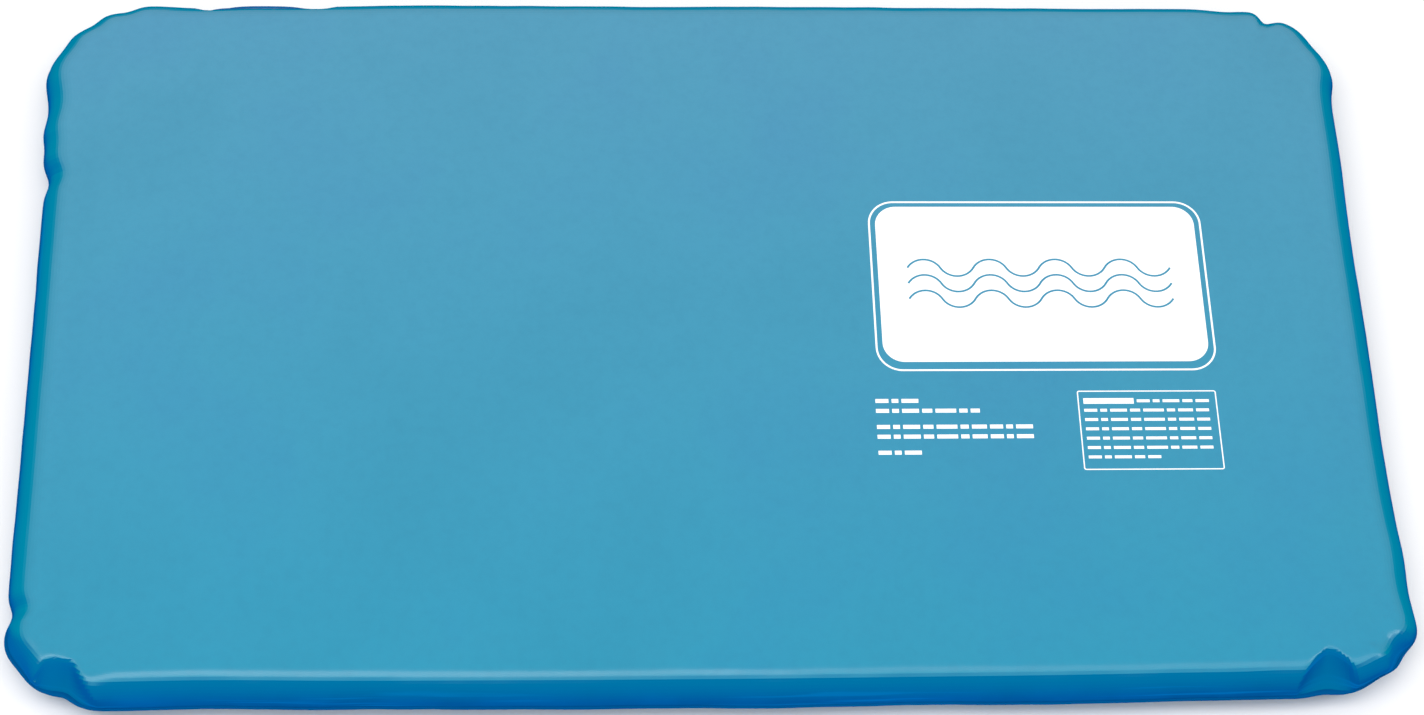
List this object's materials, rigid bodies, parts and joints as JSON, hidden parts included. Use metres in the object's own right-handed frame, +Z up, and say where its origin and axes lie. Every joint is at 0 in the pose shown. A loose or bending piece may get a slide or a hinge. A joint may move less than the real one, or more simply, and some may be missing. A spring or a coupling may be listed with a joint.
{
  "type": "laptop cooling pad",
  "caption": "Flat water-filled cooling mat of soft blue film welded round a foam core, with a printed panel on top and a plugged filling valve in the back edge.",
  "frame": {"origin": "middle of the underside, on the surface the mat lies on", "axes": "+X along the mat's length, +Y towards the back edge with the filling valve, +Z up out of the printed face"},
  "size_m": [0.56, 0.33, 0.025],
  "materials": {
    "vinyl_film": "soft blue vinyl film with a satin sheen",
    "welded_rim": "the same film fused double, deeper blue and a little glossier",
    "foam": "open-cell foam, off-white, wet",
    "valve_moulding": "soft moulded vinyl, satin blue",
    "plug_moulding": "milky white soft moulded plastic",
    "white_ink": "flat white screen-print ink"
  },
  "bodies": {
    "pad": {"top_sheet": "vinyl_film", "bottom_sheet": "vinyl_film", "edge_weld": "welded_rim", "foam_core": "foam", "valve_body": "valve_moulding", "logo_panel_print": "white_ink", "logo_outline_print": "white_ink", "notice_print": "white_ink", "caution_box_print": "white_ink"},
    "plug": {"valve_plug": "plug_moulding"}
  },
  "joints": [
    {"name": "plug_pull", "type": "slide", "parent": "pad", "child": "plug", "axis": [0, 1, 0], "range_m": [0, 0.018]}
  ]
}
